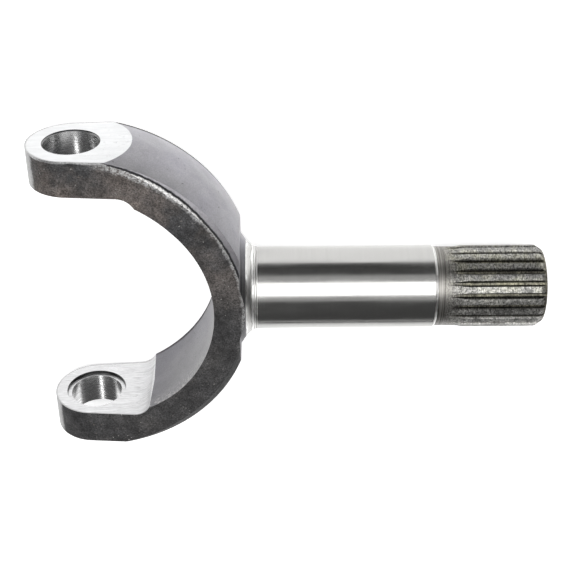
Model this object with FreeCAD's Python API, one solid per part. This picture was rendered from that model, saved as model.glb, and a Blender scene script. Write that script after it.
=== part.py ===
"""Forged yoke: a C-shaped fork and a splined stub shaft forged in one piece.

The frame: the origin is where the axis of the two ear bores crosses the shaft's axis.  +X runs along
the shaft to the splined end, +Y along the bores, and +Z up, square to the fork's flat side face, on
which the yoke lies.  Millimetres.
"""
import FreeCAD, Part
import math
import os

from FreeCAD import Vector

# ---- ears, from the bore axis ----
EAR_SPAN = 156.6            # outside to outside of the two machined ears
EAR_THICKNESS = 17.6
EAR_TIP_RADIUS = 20.6       # rounded end of an ear, about the bore
BORE_DIAMETER = 25.5
BORE_CHAMFER = 0.5          # at the outer rim
SEAT_MARGIN = 2.2           # the seat round the bore on the inner face is this much wider all round
SEAT_DEPTH = 1.6
SEAT_DRAFT = 0.4            # the seat narrows by this much on the radius
EAR_FACE_REACH = 30.0       # how far the inner faces are milled, from the bore axis
EAR_FACE_CORNER = 9.0       # corner radius that the milling cutter leaves
EAR_GAP = EAR_SPAN - 2 * EAR_THICKNESS

# ---- fork ----
CROWN_RISE = 4.7            # the ball that shapes the outside stands this far above an ear's face
THROAT_RISE = 2.2           # the round throat reaches this far past an ear's inner face
BACK_WALL = 12.1            # from the throat to the flat back
FORK_WIDTH = 48.0           # across the two flat side faces
TAPER_START = 45.0          # from here to the tip the fork narrows
OUTER_EDGE_BREAK = 2.4      # trimmed edge round the outside of each side face
FORK_OUTER_RADIUS = EAR_SPAN / 2 + CROWN_RISE
FORK_INNER_RADIUS = EAR_GAP / 2 + THROAT_RISE
BACK_FACE = FORK_INNER_RADIUS + BACK_WALL

# ---- shaft ----
JOURNAL_DIAMETER = 40.0
SHOULDER_REACH = 94.0       # from the fork's back to the end of the journal
JOURNAL_CHAMFER = 1.3
RELIEF_DEPTH = 0.7          # of the turned neck between the journal and the spline
SPLINE_REACH = 52.0         # from the end of the journal to the end of the shaft
CENTRE_DIAMETER = 9.0       # 60 degree lathe centre in the shaft's end
CENTRE_ANGLE = 60.0
JOURNAL_END = BACK_FACE + SHOULDER_REACH
SHAFT_END = JOURNAL_END + SPLINE_REACH
RELIEF_DIAMETER = JOURNAL_DIAMETER - 2 * RELIEF_DEPTH

# ---- neck between the fork and the shaft ----
TURNED_FLARE = 3.5          # how far the lathe's 45 degree flare stands out from the journal
BOSS_FLARE = 4.0            # how far the forged cone spreads further, down to the fork's back
BOSS_HEIGHT = 2.8
ROOT_RADIUS = 5.0           # turned fillet that runs into the journal
TURNED_RADIUS = JOURNAL_DIAMETER / 2 + TURNED_FLARE
BOSS_RADIUS = TURNED_RADIUS + BOSS_FLARE

# ---- spline ----
TEETH = 21
SPLINE_CLEARANCE = 0.1      # a sleeve that fits the journal passes over the teeth by this much
TOOTH_HEIGHT = 1.75
RELIEF_LENGTH = 10.2        # from the journal's end to where the spline's blank starts to rise
RISE_LENGTH = 4.4
RUN_OUT_START = 5.0         # from the journal's end to where the hob's path leaves the relief
HOB_RADIUS = 40.0
HOB_SWING = 25.0            # degrees of the hob's arc that is cut, past the surface
SPACE_SHARE = 0.52          # of the pitch, at the tip, is space
PRESSURE_ANGLE = 30.0       # of each tooth's flank
END_CHAMFER = 3.1           # along the shaft
END_CHAMFER_DEPTH = 2.05    # on the radius
SPLINE_RADIUS = JOURNAL_DIAMETER / 2 - SPLINE_CLEARANCE

CLEAR = 5.0                 # how far a cutting solid runs past what it cuts

AXIS_X = Vector(1, 0, 0)
AXIS_Y = Vector(0, 1, 0)
AXIS_Z = Vector(0, 0, 1)
ORIGIN = Vector(0, 0, 0)


def turned(outline):
    """A solid of revolution about the shaft's axis, from (x, radius) corners."""
    points = [Vector(x, radius, 0) for x, radius in outline]
    return Part.Face(Part.makePolygon(points + points[:1])).revolve(ORIGIN, AXIS_X, 360)


def side_outline():
    """The fork seen along the bores: a rounded tip that widens to the full width."""
    half = FORK_WIDTH / 2
    reach = math.hypot(TAPER_START, half)
    turn = math.atan2(half, TAPER_START) + math.acos(EAR_TIP_RADIUS / reach)
    touch_x, touch_z = EAR_TIP_RADIUS * math.cos(turn), EAR_TIP_RADIUS * math.sin(turn)
    upper, lower = Vector(touch_x, 0, touch_z), Vector(touch_x, 0, -touch_z)
    tip = Part.Arc(lower, Vector(-EAR_TIP_RADIUS, 0, 0), upper).toShape()
    sides = Part.makePolygon([upper, Vector(TAPER_START, 0, half), Vector(BACK_FACE, 0, half),
                              Vector(BACK_FACE, 0, -half), Vector(TAPER_START, 0, -half), lower])
    outline = Part.Face(Part.Wire([tip] + sides.Edges))
    outline.translate(Vector(0, -EAR_SPAN / 2, 0))
    return outline.extrude(Vector(0, EAR_SPAN, 0))


def fork_opening():
    """The space inside the fork: a round throat, and the straight milled gap between the ears."""
    deep = FORK_WIDTH + 2 * CLEAR
    back = FORK_OUTER_RADIUS + CLEAR
    gap = Part.makeBox(back + EAR_FACE_REACH, EAR_GAP, deep, Vector(-back, -EAR_GAP / 2, -deep / 2))
    corners = [edge for edge in gap.Edges
               if abs(edge.CenterOfMass.x - EAR_FACE_REACH) < 0.01 and abs(edge.CenterOfMass.z) < 0.01]
    gap = gap.makeFillet(EAR_FACE_CORNER, corners)
    throat = Part.makeCylinder(FORK_INNER_RADIUS, deep, Vector(0, 0, -deep / 2), AXIS_Z)
    throat_start = EAR_FACE_REACH - EAR_FACE_CORNER / 2
    keep = Part.makeBox(back, 2 * back, deep, Vector(throat_start, -back, -deep / 2))
    return gap.fuse(throat.common(keep))


def trimmed_ball():
    """The crowned outside of the fork, with its edges broken where the flash was trimmed."""
    half = FORK_WIDTH / 2
    edge = math.sqrt(FORK_OUTER_RADIUS ** 2 - half ** 2)
    inset = edge - OUTER_EDGE_BREAK
    low = half - OUTER_EDGE_BREAK
    rim = math.sqrt(FORK_OUTER_RADIUS ** 2 - low ** 2)
    crown = Part.Arc(Vector(rim, 0, -low), Vector(FORK_OUTER_RADIUS, 0, 0), Vector(rim, 0, low)).toShape()
    rest = Part.makePolygon([Vector(rim, 0, low), Vector(inset, 0, half), Vector(0, 0, half),
                             Vector(0, 0, -half), Vector(inset, 0, -half), Vector(rim, 0, -low)])
    return Part.Face(Part.Wire([crown] + rest.Edges)).revolve(ORIGIN, AXIS_Z, 360)


def fork():
    """The C-shaped fork with its two ears, before the bores."""
    body = trimmed_ball().common(side_outline())
    return body.cut(fork_opening())


def ear_bore(side):
    """What is bored out of one ear: the bore, its outer chamfer and the seat on the inner face."""
    radius = BORE_DIAMETER / 2
    seat = radius + SEAT_MARGIN
    inner, outer = EAR_GAP / 2, EAR_SPAN / 2
    outline = [(inner - CLEAR, 0), (inner - CLEAR, seat), (inner, seat),
               (inner + SEAT_DEPTH, seat - SEAT_DRAFT), (inner + SEAT_DEPTH, radius),
               (outer - BORE_CHAMFER, radius), (outer, radius + BORE_CHAMFER),
               (outer + CLEAR, radius + BORE_CHAMFER), (outer + CLEAR, 0)]
    points = [Vector(r, side * y, 0) for y, r in outline]
    return Part.Face(Part.makePolygon(points + points[:1])).revolve(ORIGIN, AXIS_Y, 360)


def neck():
    """The forged cone and the turned flare at the fork's back, no wider than the fork."""
    root = FORK_INNER_RADIUS + BACK_WALL / 2
    start = BACK_FACE + BOSS_HEIGHT
    journal = JOURNAL_DIAMETER / 2
    cone = turned([(root, 0), (root, BOSS_RADIUS), (BACK_FACE, BOSS_RADIUS), (start, TURNED_RADIUS), (start, 0)])
    slope = math.radians(45)
    set_back = ROOT_RADIUS * math.tan(slope / 2)
    foot = start + TURNED_FLARE
    arc_in = Vector(foot - set_back * math.cos(slope), journal + set_back * math.sin(slope), 0)
    arc_out = Vector(foot + set_back, journal, 0)
    middle = Vector(arc_out.x - ROOT_RADIUS * math.sin(slope / 2),
                    journal + ROOT_RADIUS * (1 - math.cos(slope / 2)), 0)
    fillet = Part.Arc(arc_in, middle, arc_out).toShape()
    rest = Part.makePolygon([arc_out, Vector(arc_out.x, 0, 0), Vector(start, 0, 0),
                             Vector(start, TURNED_RADIUS, 0), arc_in])
    flare = Part.Face(Part.Wire([fillet] + rest.Edges)).revolve(ORIGIN, AXIS_X, 360)
    slab = Part.makeBox(BACK_FACE, 2 * EAR_SPAN, FORK_WIDTH, Vector(root, -EAR_SPAN, -FORK_WIDTH / 2))
    return cone.fuse(flare).common(slab)


def shaft_blank():
    """The journal, the relief and the spline's blank, to the chamfered end."""
    journal = JOURNAL_DIAMETER / 2
    relief = RELIEF_DIAMETER / 2
    return turned([(BACK_FACE, 0), (BACK_FACE, journal), (JOURNAL_END - JOURNAL_CHAMFER, journal),
                   (JOURNAL_END, journal - RELIEF_DEPTH), (JOURNAL_END + RELIEF_LENGTH, relief),
                   (JOURNAL_END + RELIEF_LENGTH + RISE_LENGTH, SPLINE_RADIUS),
                   (SHAFT_END - END_CHAMFER, SPLINE_RADIUS), (SHAFT_END, SPLINE_RADIUS - END_CHAMFER_DEPTH),
                   (SHAFT_END, 0)])


def spline_space():
    """One space between two teeth, with the curved run-out that the hob leaves."""
    root = SPLINE_RADIUS - TOOTH_HEIGHT
    top = SPLINE_RADIUS + TOOTH_HEIGHT
    half_tip = SPLINE_RADIUS * math.pi / TEETH * SPACE_SHARE
    lean = math.tan(math.radians(PRESSURE_ANGLE))
    half_root = half_tip - TOOTH_HEIGHT * lean
    half_top = half_tip + TOOTH_HEIGHT * lean
    full_depth = JOURNAL_END + RUN_OUT_START + math.sqrt(2 * HOB_RADIUS * (RELIEF_DIAMETER / 2 - root))
    corners = [Vector(full_depth, y, z) for y, z in
               ((-half_root, root), (half_root, root), (half_top, top), (-half_top, top))]
    section = Part.Face(Part.makePolygon(corners + corners[:1]))
    straight = section.extrude(Vector(SHAFT_END + CLEAR - full_depth, 0, 0))
    run_out = section.revolve(Vector(full_depth, 0, root + HOB_RADIUS), AXIS_Y, HOB_SWING)
    return straight.fuse(run_out)


def spline_spaces():
    """All the spaces round the shaft."""
    one = spline_space()
    spaces = []
    for index in range(TEETH):
        space = one.copy()
        space.rotate(ORIGIN, AXIS_X, index * 360 / TEETH)
        spaces.append(space)
    return spaces


def lathe_centre():
    """The centre hole that the shaft was turned between."""
    radius = CENTRE_DIAMETER / 2
    depth = radius / math.tan(math.radians(CENTRE_ANGLE / 2))
    return turned([(SHAFT_END - depth, 0), (SHAFT_END, radius), (SHAFT_END + CLEAR, radius),
                   (SHAFT_END + CLEAR, 0)])


def yoke():
    """The whole forging, machined."""
    body = fork().fuse([neck(), shaft_blank()])
    body = body.cut([ear_bore(1), ear_bore(-1), lathe_centre()] + spline_spaces())
    return body.removeSplitter()


def main():
    os.makedirs("parts", exist_ok=True)
    shape = yoke()
    solid = shape.Solids[0] if len(shape.Solids) == 1 else shape
    box = solid.optimalBoundingBox(False)
    print("solids", len(shape.Solids), "valid", shape.isValid(), "volume", round(shape.Volume))
    print("box", [round(v, 3) for v in (box.XMin, box.YMin, box.ZMin, box.XMax, box.YMax, box.ZMax)])
    print("centre of mass", [round(v, 2) for v in shape.CenterOfGravity])
    solid.exportStep("parts/forged_yoke.step")


main()
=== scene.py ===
"""The looks of a forged yoke: scaled sides, blasted band, milled ears, ground journal and spline."""

import math

import bmesh
import bpy
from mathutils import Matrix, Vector

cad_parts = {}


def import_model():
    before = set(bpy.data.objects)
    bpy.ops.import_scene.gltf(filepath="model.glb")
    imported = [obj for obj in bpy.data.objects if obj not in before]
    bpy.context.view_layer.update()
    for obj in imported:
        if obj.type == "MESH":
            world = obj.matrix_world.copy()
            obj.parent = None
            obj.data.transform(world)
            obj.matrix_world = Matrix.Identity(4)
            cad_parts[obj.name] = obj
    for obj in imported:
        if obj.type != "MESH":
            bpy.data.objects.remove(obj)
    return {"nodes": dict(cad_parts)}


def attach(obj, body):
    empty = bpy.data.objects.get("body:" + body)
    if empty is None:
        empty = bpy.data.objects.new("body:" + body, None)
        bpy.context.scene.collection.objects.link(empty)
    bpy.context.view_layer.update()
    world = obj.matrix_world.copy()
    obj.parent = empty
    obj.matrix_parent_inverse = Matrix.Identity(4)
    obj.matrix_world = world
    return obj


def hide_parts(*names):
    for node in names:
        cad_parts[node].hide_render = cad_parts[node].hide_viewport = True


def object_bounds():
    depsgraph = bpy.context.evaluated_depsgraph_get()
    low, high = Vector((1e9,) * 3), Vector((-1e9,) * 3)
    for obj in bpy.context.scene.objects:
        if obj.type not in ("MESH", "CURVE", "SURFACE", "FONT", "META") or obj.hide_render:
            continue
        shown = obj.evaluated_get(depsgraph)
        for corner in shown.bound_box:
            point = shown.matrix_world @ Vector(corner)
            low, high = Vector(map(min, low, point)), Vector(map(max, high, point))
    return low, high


MM = 0.001

# ---- the forging's own sizes, in millimetres ----
EAR_OUTER = 78.3
EAR_INNER = 60.7
TIP_RADIUS = 20.6
BORE_RADIUS = 12.75
SEAT_RADIUS = 14.95
BALL_RADIUS = 83.0
THROAT_RADIUS = 62.9
CORNER_RADIUS = 9.0
CORNER_X = 21.0
HALF_WIDTH = 24.0
RIM_RADIUS = 77.7          # of the flat side faces
EDGE_BREAK = 2.4
EDGE_RADIUS = 75.0         # the trimmed edge lies outside this
BACK_X = 75.0
TURNED_X = 77.8
JOURNAL_START = 83.3
JOURNAL_END = 169.0
END_BREAK = 1.4            # the turned break at the end of the journal
SHAFT_END = 221.0
TOOTH_TIP = 19.9
TOOTH_ROOT = 18.15

# ---- mesh ----
SNAP = 0.12                # a face this near a surface belongs to it, mm
CHORD = 0.4                # a flat triangle's middle lies this far under a round surface, mm
SHARP = math.radians(22)
FLAT = math.radians(0.3)
SAME_RADIUS = 0.03         # two corners this alike lie on one round surface, mm
TRUE_ENOUGH = 0.004        # a straight edge this near its arc is left alone, mm
LONGEST_STEP = 0.8         # nothing is moved further than this, mm
REFINE_ROUNDS = 3

# ---- flecks of scale left on the forged sides ----
FLECK_DENSITY = 140000     # to the square metre, at the thick of a cluster
FLECK_SIZE = 0.00055
FLECK_SEED = 7
FLECK_CLUSTER = 45.0       # scale of the noise that gathers them

# ---- camera ----
CAMERA_PLACE = (0.08745, 0.30338, 0.47736)
CAMERA_TURN = (-32.341, -1.032, 0.120)    # it looks down on the yoke and a little along the bores, degrees
CAMERA_LENS = 73.24
SENSOR = 36.0

# ---- light ----
LIGHT_DISTANCE = 0.9
# name, angle from +Y towards +Z in degrees, length and height in metres, level, place along the shaft
LAMPS = (("key", 64.5, 1.8, 0.58, 3.2, 0.1),
         ("fill", 35, 1.8, 0.26, 0.48, 0.1),
         ("overhead", 88, 1.8, 0.32, 0.46, 0.1),
         ("horizon", 170, 1.8, 0.12, 0.45, 0.1),
         ("bore_strip", 121, 0.11, 0.5, 4.0, -0.17))
WORLD_LEVEL = 0.088
FLOOR_SIZE = 6.0
FLOOR_WHITE = 0.85
FLOOR_GREY = 0.12          # what the metal sees beyond the sheet
FLOOR_GLOW = 0.6
FLOOR_NEAR = 0.16          # from here the floor fades to plain white, m
FLOOR_FAR = 0.36
SHEET_EDGE = 0.160         # the white sheet under the yoke ends this far beyond the shaft, m
SHEET_FADE = 0.012


# ------------------------------------------------------------------ nodes
class Nodes:
    """Short names for building a node tree."""

    def __init__(self, tree):
        self.tree = tree
        tree.nodes.clear()

    def add(self, kind, **settings):
        node = self.tree.nodes.new(kind)
        for name, value in settings.items():
            setattr(node, name, value)
        return node

    def link(self, output, socket):
        self.tree.links.new(output, socket)

    def fill(self, node, values):
        """Sets or links a node's inputs: a socket is linked, anything else is a value."""
        for name, value in values.items():
            if isinstance(value, bpy.types.NodeSocket):
                self.link(value, node.inputs[name])
            else:
                node.inputs[name].default_value = value
        return node

    def place(self):
        return self.add("ShaderNodeTexCoord").outputs["Object"]

    def mapped(self, scale, place=None):
        node = self.add("ShaderNodeMapping")
        self.link(place or self.place(), node.inputs["Vector"])
        node.inputs["Scale"].default_value = scale
        return node.outputs["Vector"]

    def noise(self, vector, scale, detail=4.0, rough=0.55):
        node = self.add("ShaderNodeTexNoise")
        self.fill(node, {"Vector": vector, "Scale": scale, "Detail": detail, "Roughness": rough})
        return node.outputs["Fac"]

    def ramp(self, value, stops, mode="LINEAR"):
        """A colour or grey ramp from (place, colour) pairs."""
        node = self.add("ShaderNodeValToRGB")
        ramp = node.color_ramp
        ramp.interpolation = mode
        while len(ramp.elements) < len(stops):
            ramp.elements.new(0.5)
        for element, (place, colour) in zip(ramp.elements, stops):
            element.position = place
            tone = colour if isinstance(colour, tuple) else (colour,) * 3
            element.color = (*tone, 1.0)
        self.link(value, node.inputs["Fac"])
        return node.outputs["Color"]

    def mix(self, factor, a, b, blend="MIX"):
        node = self.add("ShaderNodeMix", data_type="RGBA", blend_type=blend)
        for socket, value in ((node.inputs[0], factor), (node.inputs[6], a), (node.inputs[7], b)):
            if isinstance(value, bpy.types.NodeSocket):
                self.link(value, socket)
            elif isinstance(value, tuple):
                socket.default_value = (*value, 1.0)
            else:
                socket.default_value = value
        return node.outputs[2]

    def radius(self, axes):
        """Distance from an axis through the origin, in millimetres: axes are 1 across it and 0 along it."""
        node = self.add("ShaderNodeVectorMath", operation="LENGTH")
        self.link(self.mapped([axis / MM for axis in axes]), node.inputs[0])
        return node.outputs["Value"]

    def along(self, axis):
        """Place along X, Y or Z, in millimetres."""
        node = self.add("ShaderNodeSeparateXYZ")
        self.link(self.mapped((1 / MM, 1 / MM, 1 / MM)), node.inputs[0])
        return node.outputs[axis]

    def span(self, value, low, high):
        """0 where value is low, 1 where it is high, and a straight slope between."""
        node = self.add("ShaderNodeMapRange")
        self.fill(node, {0: value, 1: low, 2: high, 3: 0.0, 4: 1.0})
        return node.outputs[0]

    def tangent_lean(self):
        """How far a face of the shaft leans round the shaft: 0 on a crest or a floor, 1 on a steep flank."""
        turn = self.add("ShaderNodeVectorMath", operation="CROSS_PRODUCT")
        turn.inputs[0].default_value = (1, 0, 0)
        self.link(self.mapped((1, 1, 1)), turn.inputs[1])
        unit = self.add("ShaderNodeVectorMath", operation="NORMALIZE")
        self.link(turn.outputs["Vector"], unit.inputs[0])
        lean = self.add("ShaderNodeVectorMath", operation="DOT_PRODUCT")
        self.link(unit.outputs["Vector"], lean.inputs[0])
        self.link(self.add("ShaderNodeTexCoord").outputs["Normal"], lean.inputs[1])
        return self.math("ABSOLUTE", lean.outputs["Value"])

    def math(self, operation, a, b=0.0):
        node = self.add("ShaderNodeMath", operation=operation)
        for socket, value in zip(node.inputs, (a, b)):
            if isinstance(value, bpy.types.NodeSocket):
                self.link(value, socket)
            else:
                socket.default_value = value
        return node.outputs[0]

    def bump(self, height, strength, distance):
        node = self.add("ShaderNodeBump")
        self.fill(node, {"Height": height, "Strength": strength, "Distance": distance})
        return node.outputs["Normal"]

    def surface(self, **values):
        shader = self.add("ShaderNodeBsdfPrincipled")
        names = {"base_color": "Base Color", "specular": "Specular IOR Level"}
        self.fill(shader, {names.get(name, name.capitalize()): value for name, value in values.items()})
        output = self.add("ShaderNodeOutputMaterial")
        self.link(shader.outputs["BSDF"], output.inputs["Surface"])
        return shader


def new_material(name):
    material = bpy.data.materials.new(name)
    material.use_nodes = True
    return material, Nodes(material.node_tree)


# ------------------------------------------------------------------ finishes
def forged_scale():
    """Dark as-forged steel: faint brown bloom, painted dull glints, rubbed corners, and ear tips skimmed
    bright.
    """
    material, n = new_material("forged_scale")
    plain = n.mapped((1, 1, 1))
    broad = n.noise(plain, 30, 5, 0.6)
    blotch = n.noise(plain, 150, 6, 0.7)
    grit = n.noise(plain, 1300, 4, 0.7)
    glint = n.noise(plain, 640, 5, 0.8)
    across_y = n.along("Y")
    base = n.ramp(broad, [(0.32, (0.060, 0.060, 0.063)), (0.55, (0.076, 0.074, 0.075)),
                          (0.70, (0.094, 0.089, 0.087))])
    bloom = n.math("MULTIPLY", n.span(across_y, 0.0, 40.0), n.span(broad, 0.42, 0.60))
    base = n.mix(n.math("MULTIPLY", bloom, 0.8), base, (0.215, 0.182, 0.164))
    base = n.mix(1.0, base, n.ramp(blotch, [(0.32, 0.30), (0.68, 1.0)]), "MULTIPLY")
    base = n.mix(1.0, base, n.ramp(grit, [(0.36, 0.22), (0.66, 1.0)]), "MULTIPLY")
    base = n.mix(1.0, base, base, "ADD")
    # painted highlights: small light grey glints mixed into the colour, gathered in clusters
    painted_glints = n.math("MULTIPLY", n.span(glint, 0.60, 0.68), n.span(blotch, 0.40, 0.58))
    base = n.mix(n.math("MULTIPLY", painted_glints, 0.8), base, (0.36, 0.35, 0.34))
    rim = n.math("ADD", n.radius((1, 1, 0)), n.math("MULTIPLY", blotch, 5.0))
    rubbed = n.math("MULTIPLY", n.span(rim, RIM_RADIUS + 0.4, RIM_RADIUS + 1.8),
                    n.span(across_y, -25.0, 20.0))
    rubbed = n.math("MULTIPLY", rubbed, n.span(n.along("X"), 8.0, 24.0))
    corner = n.span(n.math("ADD", across_y, n.math("MULTIPLY", blotch, 2.4)), EAR_OUTER, EAR_OUTER + 0.6)
    tip = n.span(n.math("ADD", n.along("X"), n.math("MULTIPLY", blotch, 3.0)), -14.4, -15.8)
    rubbed = n.math("MULTIPLY", rubbed, n.span(glint, 0.41, 0.54))
    bright = n.math("MAXIMUM", n.math("MAXIMUM", rubbed, n.math("MULTIPLY", corner, 0.8)), tip)
    shine = n.mix(tip, n.ramp(grit, [(0.3, 0.35), (0.7, 0.90)]), n.ramp(grit, [(0.3, 0.18), (0.7, 0.44)]))
    base = n.mix(bright, base, shine)
    height = n.math("ADD", n.math("MULTIPLY", blotch, 0.7), n.math("MULTIPLY", grit, 0.3))
    n.surface(base_color=base, metallic=n.span(bright, -0.5, 1.0),
              roughness=n.ramp(bright, [(0, 0.6), (1, 0.36)]), normal=n.bump(height, 0.55, 0.0006))
    return material


def trimmed_edge():
    """The trimmed edge: blasted above a thin dark line, rubbed bright below it, and dull lower down."""
    material, n = new_material("trimmed_edge")
    plain = n.mapped((1, 1, 1))
    ragged = n.noise(plain, 360, 6, 0.75)
    glint = n.noise(plain, 900, 4, 0.8)
    across_y = n.along("Y")
    depth = n.math("SUBTRACT", HALF_WIDTH, n.along("Z"))
    near = n.math("LESS_THAN", depth, HALF_WIDTH)
    place = n.math("ADD", depth, n.math("MULTIPLY", n.math("SUBTRACT", ragged, 0.5), 0.9))
    # the line starts at the top of the edge by the ear, and runs down to its foot towards the shaft
    line = n.math("ADD", n.math("MULTIPLY", n.span(across_y, 48.0, 76.0), EDGE_BREAK * 0.6), 0.5)
    above = n.math("SUBTRACT", place, line)
    upper = n.math("MULTIPLY", n.span(above, 0.2, 0.5), n.span(across_y, -30.0, 5.0))
    rubbed = n.math("MULTIPLY", n.span(above, -0.2, -0.5), n.span(glint, 0.36, 0.52))
    rubbed = n.math("MULTIPLY", rubbed, n.span(across_y, -5.0, 30.0))
    upper = n.math("MULTIPLY", upper, near)
    rubbed = n.math("MULTIPLY", rubbed, near)
    dull = n.ramp(ragged, [(0.3, 0.030), (0.7, 0.085)])
    base = n.mix(n.math("MULTIPLY", n.span(across_y, -5.0, 20.0), near), dull, (0.016, 0.016, 0.018))
    base = n.mix(upper, base, n.ramp(glint, [(0.3, (0.31, 0.30, 0.325)), (0.7, (0.44, 0.43, 0.45))]))
    base = n.mix(rubbed, base, (0.80, 0.79, 0.78))
    n.surface(base_color=base, metallic=n.span(n.math("MAXIMUM", upper, rubbed), -0.15, 1.0), roughness=0.45,
              specular=0.25, normal=n.bump(ragged, 0.6, 0.0007))
    return material


def blasted_band():
    """Shot-blasted grey of the crowned outside, the throat and the boss, with painted shade: lighter towards
    the lower side, darker in the throat.
    """
    material, n = new_material("blasted_band")
    plain = n.mapped((1, 1, 1))
    broad = n.noise(plain, 26, 4, 0.6)
    cloud = n.noise(plain, 110, 5, 0.65)
    fine = n.noise(plain, 1500, 4, 0.6)
    pit = n.noise(plain, 380, 3, 0.6)
    streak = n.noise(n.mapped((40, 1, 1)), 30, 4, 0.7)
    # painted shading: the band lighter towards the lower side and darker towards the top
    upward = n.span(n.along("Z"), -HALF_WIDTH, HALF_WIDTH)
    level = n.ramp(upward, [(0, 0.54), (0.25, 0.42), (0.5, 0.35), (0.75, 0.32), (1, 0.28)])
    # painted shade: the throat between the ears darker than the band, darkest towards the ear at -Y
    inside = n.span(n.radius((1, 1, 0)), 66.0, 63.5)
    level = n.mix(inside, level, n.ramp(n.span(n.along("Y"), -60.0, -30.0), [(0, 0.17), (1, 0.25)]))
    boss = n.span(n.along("X"), BACK_X + 0.1, BACK_X + 0.5)
    shade = n.math("MULTIPLY", boss, n.span(n.along("Z"), -6.0, 9.0))
    level = n.mix(shade, level, n.ramp(streak, [(0.35, 0.05), (0.65, 0.16)]))
    tint = n.ramp(broad, [(0.3, (0.91, 0.89, 0.99)), (0.7, (0.99, 0.98, 1.0))])
    base = n.mix(1.0, level, tint, "MULTIPLY")
    base = n.mix(1.0, base, n.ramp(cloud, [(0.3, 0.80), (0.7, 1.0)]), "MULTIPLY")
    base = n.mix(1.0, base, n.ramp(fine, [(0.25, 0.72), (0.75, 1.0)]), "MULTIPLY")
    base = n.mix(0.25, base, base, "ADD")
    base = n.mix(n.span(pit, 0.68, 0.75), base, (0.08, 0.075, 0.08))
    grit = n.math("MULTIPLY", n.math("MULTIPLY", inside, n.span(n.along("Z"), 14.0, 23.0)),
                  n.span(n.noise(plain, 700, 4, 0.8), 0.50, 0.60))
    base = n.mix(n.math("MULTIPLY", grit, 0.5), base, (0.62, 0.60, 0.58))
    # a thin dark line along the back edge of the band, less metallic and rougher
    back = n.math("ADD", n.along("Z"), n.math("MULTIPLY", inside, EDGE_BREAK))
    back_edge_line = n.span(n.math("ADD", back, n.math("MULTIPLY", pit, 0.8)), -18.4, -19.4)
    base = n.mix(n.math("MULTIPLY", back_edge_line, 0.8), base, (0.06, 0.055, 0.06))
    n.surface(base_color=base, metallic=n.ramp(back_edge_line, [(0, 0.85), (1, 0.1)]),
              roughness=n.ramp(back_edge_line, [(0, 0.44), (1, 0.95)]), normal=n.bump(fine, 0.4, 0.0003))
    return material


def milled_face():
    """Bright milled faces of the ears: brush marks, a few small pits and nicks along the edges, and the inner
    faces painted a shade darker.
    """
    material, n = new_material("milled_face")
    plain = n.mapped((1, 1, 1))
    brush = n.noise(n.mapped((5, 1, 60)), 40, 4, 0.65)
    smear = n.noise(n.mapped((2, 1, 9)), 45, 5, 0.65)
    scuff = n.noise(plain, 420, 5, 0.75)
    chip = n.noise(plain, 170, 5, 0.75)
    out = n.span(n.math("ABSOLUTE", n.along("Y")), EAR_INNER + 2.0, EAR_OUTER - 2.0)
    # painted shade: the brushed inner faces a little darker than the outer faces
    inner = n.ramp(brush, [(0.34, (0.47, 0.47, 0.475)), (0.62, (0.69, 0.69, 0.695))])
    outer = n.ramp(smear, [(0.3, (0.575, 0.58, 0.585)), (0.6, (0.68, 0.685, 0.69))])
    base = n.mix(out, inner, outer)
    patch = n.math("MULTIPLY", n.span(n.along("X"), 12.0, 17.0), n.span(smear, 0.45, 0.56))
    marks = n.math("MAXIMUM", n.span(chip, 0.73, 0.76), n.math("MULTIPLY", patch, n.span(scuff, 0.55, 0.66)))
    base = n.mix(n.math("MULTIPLY", marks, 0.55), base, (0.36, 0.36, 0.36))
    ragged = n.math("ADD", n.math("ABSOLUTE", n.along("Z")), n.math("MULTIPLY", scuff, 3.0))
    ragged = n.math("MULTIPLY", n.span(ragged, 24.6, 25.2), n.span(n.along("X"), 15.0, 22.0))
    base = n.mix(n.math("MULTIPLY", ragged, 0.85), base, (0.06, 0.058, 0.058))
    # how far out towards the edge of the ear: its round tip, then its sloping sides
    side = n.math("SUBTRACT", n.math("MULTIPLY", n.math("ABSOLUTE", n.along("Z")), 0.99725),
                  n.math("MULTIPLY", n.along("X"), 0.0741))
    tip = n.math("MULTIPLY", n.radius((1, 0, 1)), n.math("LESS_THAN", n.along("X"), -1.5))
    reach = n.math("ADD", n.math("MAXIMUM", side, tip), n.math("MULTIPLY", chip, 1.6))
    base = n.mix(n.math("MULTIPLY", n.span(reach, TIP_RADIUS - 0.1, TIP_RADIUS + 0.6), 0.8), base,
                 (0.30, 0.30, 0.30))
    corner = n.span(n.math("SUBTRACT", n.along("X"), n.math("MULTIPLY", out, HALF_WIDTH)), CORNER_X - 3.0,
                    CORNER_X + 4.0)
    rough = n.mix(corner, n.ramp(smear, [(0.3, 0.26), (0.7, 0.38)]), (0.5, 0.5, 0.5))
    n.surface(base_color=base, metallic=1.0, roughness=rough, normal=n.bump(brush, 0.18, 0.0001))
    return material


def bored_wall():
    """Bored and reamed wall with fine circular tool lines; the seat cut round the bore, and the chamfer at
    the mouth of the bore in the ear at +Y, are painted dark as shade.
    """
    material, n = new_material("bored_wall")
    lines = n.noise(n.mapped((1, 90, 1)), 30, 4, 0.65)
    wide = n.radius((1, 0, 1))
    # painted shade: the seat and the chamfer much darker than the bore
    seat = n.span(wide, BORE_RADIUS + 0.9, BORE_RADIUS + 1.3)
    chamfer = n.math("MULTIPLY", n.span(wide, BORE_RADIUS + 0.02, BORE_RADIUS + 0.15), n.along("Y"))
    seat = n.math("MAXIMUM", seat, n.span(chamfer, 0.0, EAR_INNER))
    base = n.mix(seat, n.ramp(lines, [(0.3, 0.50), (0.7, 0.88)]), n.ramp(lines, [(0.3, 0.04), (0.7, 0.10)]))
    n.surface(base_color=base, metallic=1.0, roughness=n.ramp(lines, [(0.3, 0.32), (0.7, 0.18)]),
              normal=n.bump(lines, 0.3, 0.0001))
    return material


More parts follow.
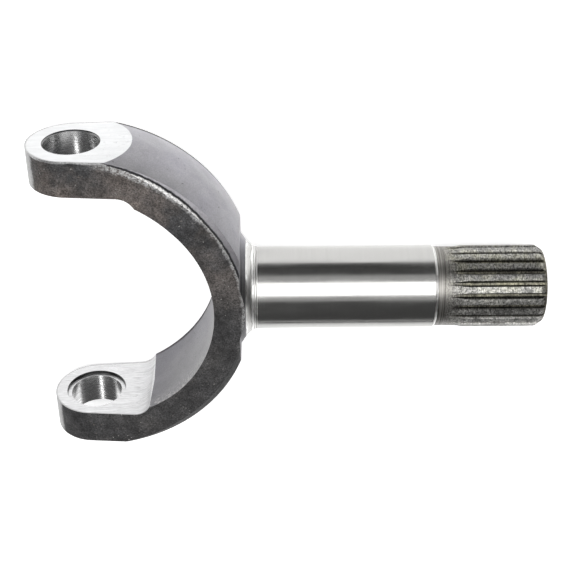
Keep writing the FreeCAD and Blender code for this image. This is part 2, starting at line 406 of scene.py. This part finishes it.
def ground_journal():
    """Ground steel: faint grinding lines round the shaft and long, soft handling marks."""
    material, n = new_material("ground_journal")
    lines = n.noise(n.mapped((70, 1, 1)), 26, 4, 0.6)
    marks = n.noise(n.mapped((2, 9, 9)), 22, 4, 0.6)
    base = n.ramp(lines, [(0.3, (0.435, 0.432, 0.421)), (0.7, (0.465, 0.462, 0.451))])
    n.surface(base_color=base, metallic=1.0, roughness=n.ramp(marks, [(0.35, 0.17), (0.7, 0.25)]),
              normal=n.bump(lines, 0.04, 0.0001))
    return material


def turned_rings():
    """Lathe-turned steel: the tool's feed rings, wandering a little where they were rubbed."""
    material, n = new_material("turned_rings")
    wander = n.noise(n.mapped((1, 1, 1)), 75, 4, 0.6)
    feed = n.math("ADD", n.along("X"), n.math("MULTIPLY", n.radius((0, 1, 1)), 0.7))
    node = n.add("ShaderNodeTexNoise", noise_dimensions="1D")
    n.fill(node, {"W": n.math("ADD", feed, n.math("MULTIPLY", wander, 1.6)), "Scale": 1.5, "Detail": 4.0,
                  "Roughness": 0.7})
    faced = n.span(n.along("X"), SHAFT_END - 1.5, SHAFT_END - 0.5)
    rings = n.mix(n.math("MULTIPLY", faced, 0.75), node.outputs["Fac"], (0.5, 0.5, 0.5))
    n.surface(base_color=n.ramp(rings, [(0.34, (0.20, 0.195, 0.185)), (0.5, (0.68, 0.675, 0.66)),
                                        (0.66, (0.92, 0.92, 0.91))]),
              metallic=1.0, roughness=0.28, normal=n.bump(rings, 0.7, 0.0005))
    return material


def splined_steel():
    """The turned relief and the spline: dull grey lands and floors, thin flanks painted dark as shade, olive
    with old oil.
    """
    material, n = new_material("splined_steel")
    plain = n.mapped((1, 1, 1))
    grain = n.noise(n.mapped((1.6, 1, 1)), 900, 4, 0.75)
    stain = n.noise(plain, 120, 5, 0.65)
    rings = n.noise(n.mapped((60, 1, 1)), 26, 3, 0.6)
    height = n.span(n.radius((0, 1, 1)), TOOTH_ROOT, TOOTH_TIP - 0.3)
    flank = n.span(n.tangent_lean(), 0.30, 0.62)
    tone = n.ramp(height, [(0.0, (0.22, 0.21, 0.17)), (0.35, (0.26, 0.25, 0.225)),
                           (1.0, (0.40, 0.395, 0.378))])
    oily = n.math("MULTIPLY", n.span(n.along("Y"), -2.0, 12.0), n.span(stain, 0.42, 0.60))
    tone = n.mix(n.math("MULTIPLY", oily, 0.5), tone, (0.17, 0.165, 0.095))
    tone = n.mix(1.0, tone, n.ramp(stain, [(0.34, 0.40), (0.56, 1.0)]), "MULTIPLY")
    tone = n.mix(1.0, tone, n.ramp(grain, [(0.36, 0.10), (0.50, 0.42), (0.64, 1.0)]), "MULTIPLY")
    tone = n.mix(1.0, tone, tone, "ADD")
    # painted shade: the flanks of the teeth darkened, most of all near the roots
    side = n.ramp(height, [(0.0, 0.06), (0.3, 0.12), (0.6, 0.5), (1.0, 0.9)])
    tone = n.mix(flank, tone, n.mix(1.0, tone, side, "MULTIPLY"))
    relief = n.span(n.math("ADD", n.along("X"), n.math("MULTIPLY", stain, 5.0)), JOURNAL_END + 11.0,
                    JOURNAL_END + 5.0)
    base = n.mix(relief, tone, n.ramp(rings, [(0.34, (0.06, 0.055, 0.05)), (0.64, (0.33, 0.32, 0.30))]))
    bumps = n.math("ADD", n.math("MULTIPLY", grain, 0.6), n.math("MULTIPLY", rings, 0.4))
    n.surface(base_color=base, metallic=0.92, roughness=n.ramp(relief, [(0, 0.43), (1, 0.36)]),
              normal=n.bump(bumps, 0.5, 0.0003))
    return material


def loose_scale_and_glints():
    """Small flecks of scale that catch the light, the lightest of them painted as glints."""
    material, n = new_material("loose_scale_and_glints")
    which = n.noise(n.mapped((1, 1, 1)), 260, 2, 0.5)
    # painted highlights: the light grey flecks stand for glints
    base = n.ramp(which, [(0.42, (0.17, 0.15, 0.13)), (0.52, (0.13, 0.125, 0.12)),
                          (0.62, (0.45, 0.44, 0.42))])
    n.surface(base_color=base, metallic=0.6, roughness=0.38)
    return material


FINISHES = (forged_scale, trimmed_edge, blasted_band, milled_face, bored_wall, ground_journal, turned_rings,
            splined_steel)
SLOT = {finish.__name__: index for index, finish in enumerate(FINISHES)}


# ------------------------------------------------------------------ mesh
def across(place, axes):
    """The unit vector from an axis through the origin out to place."""
    return Vector([value * axis for value, axis in zip(place, axes)]).normalized()


def from_y(place):
    return across(place, (1, 0, 1))


def from_x(place):
    return across(place, (0, 1, 1))


def from_z(place):
    return across(place, (1, 1, 0))


def fork_region(centre, normal):
    """Finish and true outward direction, or None where the face is flat, of one face of the fork."""
    x, y, z = centre
    bore = math.hypot(x, z)
    throat = math.hypot(x, y)
    corner = math.hypot(x - CORNER_X, abs(y) - EAR_INNER + CORNER_RADIUS)
    if bore < SEAT_RADIUS + SNAP and abs(y) > EAR_INNER - SNAP and abs(normal.y) < 0.95:
        return "bored_wall", (lambda place: -from_y(place)) if bore < BORE_RADIUS + SNAP else None
    if abs(normal.y) > 0.98 and bore < CORNER_X + EDGE_BREAK * 4:
        return "milled_face", None
    if abs(normal.z) > 0.99:
        return "forged_scale", None
    if abs(centre.length - BALL_RADIUS) < CHORD and normal.dot(centre) > 0.97 * centre.length:
        return "blasted_band", lambda place: place.normalized()
    if abs(z) > HALF_WIDTH - EDGE_BREAK - SNAP and abs(normal.z) > 0.3 and throat > EDGE_RADIUS:
        return "trimmed_edge", None
    if abs(corner - CORNER_RADIUS) < SNAP * 2 and x > CORNER_X and abs(normal.z) < 0.1:
        return "milled_face", None
    if abs(throat - THROAT_RADIUS) < CHORD and abs(normal.z) < 0.1 and normal.dot(centre) < 0:
        return "blasted_band", lambda place: -from_z(place)
    if x > BACK_X - SNAP and normal.x > 0.9:
        return "blasted_band", None
    if abs(bore - TIP_RADIUS) < SNAP and x < 0:
        return "forged_scale", from_y
    return "forged_scale", None


def shaft_region(centre, normal):
    """The same for one face of the neck or the shaft."""
    x = centre.x
    if x < TURNED_X:
        return "forged_scale" if abs(normal.z) > 0.95 else "blasted_band", None
    if x < JOURNAL_START or normal.x > 0.99:
        return "turned_rings", None
    if x < JOURNAL_END - END_BREAK:
        return "ground_journal", from_x
    if x < JOURNAL_END:
        return "turned_rings", None
    return "splined_steel", None


def finish_of(face):
    """Finish and true outward direction of a face of the forging."""
    centre = face.calc_center_median() / MM
    return (shaft_region if centre.x > BACK_X + SNAP else fork_region)(centre, face.normal)


def arc_middle(edge):
    """The middle of the arc that a straight edge stands for, or None where it is truly straight."""
    one, two = (vertex.co / MM for vertex in edge.verts)
    middle = (one + two) / 2
    for axes in ((0, 1, 1), (1, 0, 1), (1, 1, 0), (1, 1, 1)):
        flat = [Vector([value * axis for value, axis in zip(place, axes)]) for place in (one, two, middle)]
        if flat[2].length < 1 or abs(flat[0].length - flat[1].length) > SAME_RADIUS:
            continue
        if axes != (1, 1, 1) and not round_about(axes, flat[0].length):
            continue
        if axes == (1, 1, 1) and abs(flat[0].length - BALL_RADIUS) > CHORD:
            continue
        step = flat[2] * ((flat[0].length + flat[1].length) / 2 / flat[2].length - 1)
        if TRUE_ENOUGH < step.length < LONGEST_STEP:
            return (middle + step) * MM
    return None


def round_about(axes, radius):
    """Whether the forging has a round surface, or a round edge, of this radius about this axis."""
    if axes == (0, 1, 1):
        return radius > TOOTH_ROOT - 1 and radius < HALF_WIDTH + 4
    if axes == (1, 0, 1):
        return radius < HALF_WIDTH + 4
    return radius > THROAT_RADIUS - 1


def refine(mesh):
    """Splits the straight edges that stand for arcs, and moves the new corners on to the true surface."""
    for _ in range(REFINE_ROUNDS):
        splits = []
        round_faces = {face for face in mesh.faces if finish_of(face)[1]}
        for edge in mesh.edges:
            bent = len(edge.link_faces) == 2 and edge.calc_face_angle(0) > FLAT
            if bent or any(face in round_faces for face in edge.link_faces):
                place = arc_middle(edge)
                if place:
                    splits.append((edge, place))
        for edge, place in splits:
            corner = bmesh.utils.edge_split(edge, edge.verts[0], 0.5)[1]
            corner.co = place
        bmesh.ops.triangulate(mesh, faces=[face for face in mesh.faces if len(face.verts) > 3])
        mesh.normal_update()


def yoke_mesh(source):
    """A copy of the forging's mesh, its round faces made rounder, its faces sorted by finish."""
    piece = bpy.data.objects.new("yoke_forging", source.data.copy())
    bpy.context.scene.collection.objects.link(piece)
    piece.data.materials.clear()
    for finish in FINISHES:
        piece.data.materials.append(finish())
    mesh = bmesh.new()
    mesh.from_mesh(piece.data)
    bmesh.ops.remove_doubles(mesh, verts=mesh.verts, dist=1e-6)
    mesh.normal_update()
    refine(mesh)
    directions = []
    for face in mesh.faces:
        finish, direction = finish_of(face)
        face.material_index = SLOT[finish]
        face.smooth = True
        directions.append(direction)
    for edge in mesh.edges:
        if len(edge.link_faces) == 2:
            edge.smooth = edge.calc_face_angle(0) < SHARP
    mesh.to_mesh(piece.data)
    mesh.free()
    shade_true(piece.data, directions)
    return piece


def shade_true(data, directions):
    """Gives the corners of round faces the direction of the surface that they stand for."""
    found = [Vector(corner.vector) for corner in data.corner_normals]
    for face, direction in zip(data.polygons, directions):
        if direction:
            for corner in face.loop_indices:
                found[corner] = direction(data.vertices[data.loops[corner].vertex_index].co)
    data.normals_split_custom_set(found)


def fleck_tree(material):
    """Geometry nodes: one flat fleck, scattered over the forged sides and turned and sized at random."""
    tree = bpy.data.node_groups.new("scatter_flecks", "GeometryNodeTree")
    face = tree.interface
    face.new_socket("Geometry", in_out="INPUT", socket_type="NodeSocketGeometry")
    for name, kind in (("Density", "NodeSocketFloat"), ("Size", "NodeSocketFloat"), ("Seed", "NodeSocketInt"),
                       ("Finish", "NodeSocketInt"), ("Top", "NodeSocketFloat")):
        face.new_socket(name, in_out="INPUT", socket_type=kind)
    face.new_socket("Geometry", in_out="OUTPUT", socket_type="NodeSocketGeometry")
    n = Nodes(tree)
    given = n.add("NodeGroupInput").outputs
    index = n.add("GeometryNodeInputMaterialIndex").outputs[0]
    forged = n.add("FunctionNodeCompare", data_type="INT", operation="EQUAL")
    n.link(index, forged.inputs[2])
    n.link(given["Finish"], forged.inputs[3])
    place = n.add("ShaderNodeSeparateXYZ")
    n.link(n.add("GeometryNodeInputPosition").outputs[0], place.inputs[0])
    above = n.add("FunctionNodeCompare", data_type="FLOAT", operation="GREATER_THAN")
    n.link(place.outputs["Z"], above.inputs[0])
    n.link(given["Top"], above.inputs[1])
    both = n.add("FunctionNodeBooleanMath", operation="AND")
    n.link(forged.outputs[0], both.inputs[0])
    n.link(above.outputs[0], both.inputs[1])
    cluster = n.fill(n.add("ShaderNodeTexNoise"), {"Scale": FLECK_CLUSTER, "Detail": 3.0, "Roughness": 0.6})
    crowded = n.math("MULTIPLY", n.span(cluster.outputs[0], 0.46, 0.64), given["Density"])
    points = n.add("GeometryNodeDistributePointsOnFaces", distribute_method="RANDOM")
    n.fill(points, {"Mesh": given["Geometry"], "Selection": both.outputs[0], "Density": crowded,
                    "Seed": given["Seed"]})
    fleck = n.fill(n.add("GeometryNodeMeshIcoSphere"), {"Radius": 1.0, "Subdivisions": 1})
    size = n.add("FunctionNodeRandomValue", data_type="FLOAT_VECTOR")
    n.fill(size, {"Min": (0.15, 0.12, 0.02), "Max": (1.0, 0.6, 0.06), "Seed": given["Seed"]})
    scaled = n.add("ShaderNodeVectorMath", operation="SCALE")
    n.fill(scaled, {0: size.outputs[0], "Scale": given["Size"]})
    spin = n.add("FunctionNodeRandomValue", data_type="FLOAT_VECTOR")
    n.fill(spin, {"Min": (0.0, 0.0, 0.0), "Max": (0.0, 0.0, math.tau), "Seed": given["Seed"]})
    turned = n.add("FunctionNodeRotateRotation", rotation_space="LOCAL")
    n.link(points.outputs["Rotation"], turned.inputs[0])
    n.link(spin.outputs[0], turned.inputs[1])
    copies = n.add("GeometryNodeInstanceOnPoints")
    n.fill(copies, {"Points": points.outputs["Points"], "Instance": fleck.outputs["Mesh"],
                    "Rotation": turned.outputs[0], "Scale": scaled.outputs[0]})
    real = n.add("GeometryNodeRealizeInstances")
    n.link(copies.outputs[0], real.inputs[0])
    finish = n.fill(n.add("GeometryNodeSetMaterial"), {"Material": material})
    n.link(real.outputs[0], finish.inputs["Geometry"])
    n.link(finish.outputs[0], n.add("NodeGroupOutput").inputs[0])
    return tree


def scale_flecks(forging):
    """The flecks as one plain mesh, a hair proud of the forged sides, none of them underneath."""
    carrier = bpy.data.objects.new("fleck_carrier", forging.data.copy())
    bpy.context.scene.collection.objects.link(carrier)
    tree = fleck_tree(loose_scale_and_glints())
    scatter = carrier.modifiers.new("scatter", "NODES")
    scatter.node_group = tree
    values = {"Density": FLECK_DENSITY, "Size": FLECK_SIZE, "Seed": FLECK_SEED,
              "Finish": SLOT["forged_scale"], "Top": -(HALF_WIDTH - 1.0) * MM}
    for item in tree.interface.items_tree:
        if item.in_out == "INPUT" and item.name in values:
            scatter[item.identifier] = values[item.name]
    found = carrier.evaluated_get(bpy.context.evaluated_depsgraph_get())
    flecks = bpy.data.objects.new("scale_flecks", bpy.data.meshes.new_from_object(found))
    bpy.context.scene.collection.objects.link(flecks)
    bpy.data.objects.remove(carrier)
    return flecks


# ------------------------------------------------------------------ stage
def camera():
    data = bpy.data.cameras.new("camera")
    data.sensor_width = SENSOR
    data.lens = CAMERA_LENS
    data.clip_start = 0.01
    thing = bpy.data.objects.new("camera", data)
    bpy.context.scene.collection.objects.link(thing)
    thing.location = CAMERA_PLACE
    thing.rotation_euler = [math.radians(angle) for angle in CAMERA_TURN]
    bpy.context.scene.camera = thing


def lamp(name, angle, length, height, level, along):
    """A soft box above the yoke, angle degrees from +Y towards +Z, facing the shaft."""
    data = bpy.data.lights.new(name, "AREA")
    data.shape = "RECTANGLE"
    data.size = length
    data.size_y = height
    data.energy = level * math.pi * length * height
    thing = bpy.data.objects.new(name, data)
    bpy.context.scene.collection.objects.link(thing)
    turn = math.radians(angle)
    thing.location = (along, LIGHT_DISTANCE * math.cos(turn), LIGHT_DISTANCE * math.sin(turn))
    thing.rotation_euler = (turn - math.pi / 2, 0, 0)


def world():
    """White to the camera, and a low even grey to everything else."""
    studio = bpy.data.worlds.new("studio")
    bpy.context.scene.world = studio
    studio.use_nodes = True
    n = Nodes(studio.node_tree)
    rays = n.add("ShaderNodeLightPath").outputs["Is Camera Ray"]
    colour = n.mix(rays, (WORLD_LEVEL,) * 3, (1.0, 1.0, 1.0))
    back = n.fill(n.add("ShaderNodeBackground"), {"Color": colour, "Strength": 1.0})
    n.link(back.outputs[0], n.add("ShaderNodeOutputWorld").inputs["Surface"])


def floor(low):
    """A white floor under the side face, of which the metal mirrors only a sheet round the yoke."""
    bpy.ops.mesh.primitive_plane_add(size=FLOOR_SIZE, location=(0.1, 0, low))
    plane = bpy.context.object
    plane.name = "floor"
    material, n = new_material("floor_white")
    paths = n.add("ShaderNodeLightPath").outputs
    sheet = n.span(n.along("Y"), (SHEET_EDGE + SHEET_FADE) / MM, SHEET_EDGE / MM)
    # seen by the camera it is white to the horizon, and keeps the yoke's shadow where it stands
    far = n.span(n.radius((1, 1, 0)), FLOOR_NEAR / MM, FLOOR_FAR / MM)
    far = n.math("MULTIPLY", far, paths["Is Camera Ray"])
    white = n.math("MAXIMUM", paths["Is Camera Ray"], sheet)
    colour = n.mix(far, n.mix(white, (FLOOR_GREY,) * 3, (FLOOR_WHITE,) * 3), (0.0,) * 3)
    matt = n.fill(n.add("ShaderNodeBsdfDiffuse"), {"Color": colour})
    seen = n.math("MAXIMUM", paths["Is Camera Ray"], n.math("MULTIPLY", paths["Is Glossy Ray"], sheet))
    strength = n.math("ADD", n.math("MULTIPLY", seen, FLOOR_GLOW), n.math("MULTIPLY", far, 1 - FLOOR_GLOW))
    glow = n.fill(n.add("ShaderNodeEmission"), {"Color": (1, 1, 1, 1), "Strength": strength})
    both = n.add("ShaderNodeAddShader")
    n.link(matt.outputs[0], both.inputs[0])
    n.link(glow.outputs[0], both.inputs[1])
    n.link(both.outputs[0], n.add("ShaderNodeOutputMaterial").inputs["Surface"])
    plane.data.materials.append(material)


def main():
    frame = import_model()
    cad_box = [list(corner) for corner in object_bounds()]
    piece = yoke_mesh(frame["nodes"]["forged_yoke"])
    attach(piece, "root")
    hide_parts("forged_yoke")
    flecks = scale_flecks(piece)
    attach(flecks, "root")
    camera()
    world()
    for settings in LAMPS:
        lamp(*settings)
    floor(cad_box[0][2])
    bpy.context.scene.view_settings.view_transform = "Standard"


main()
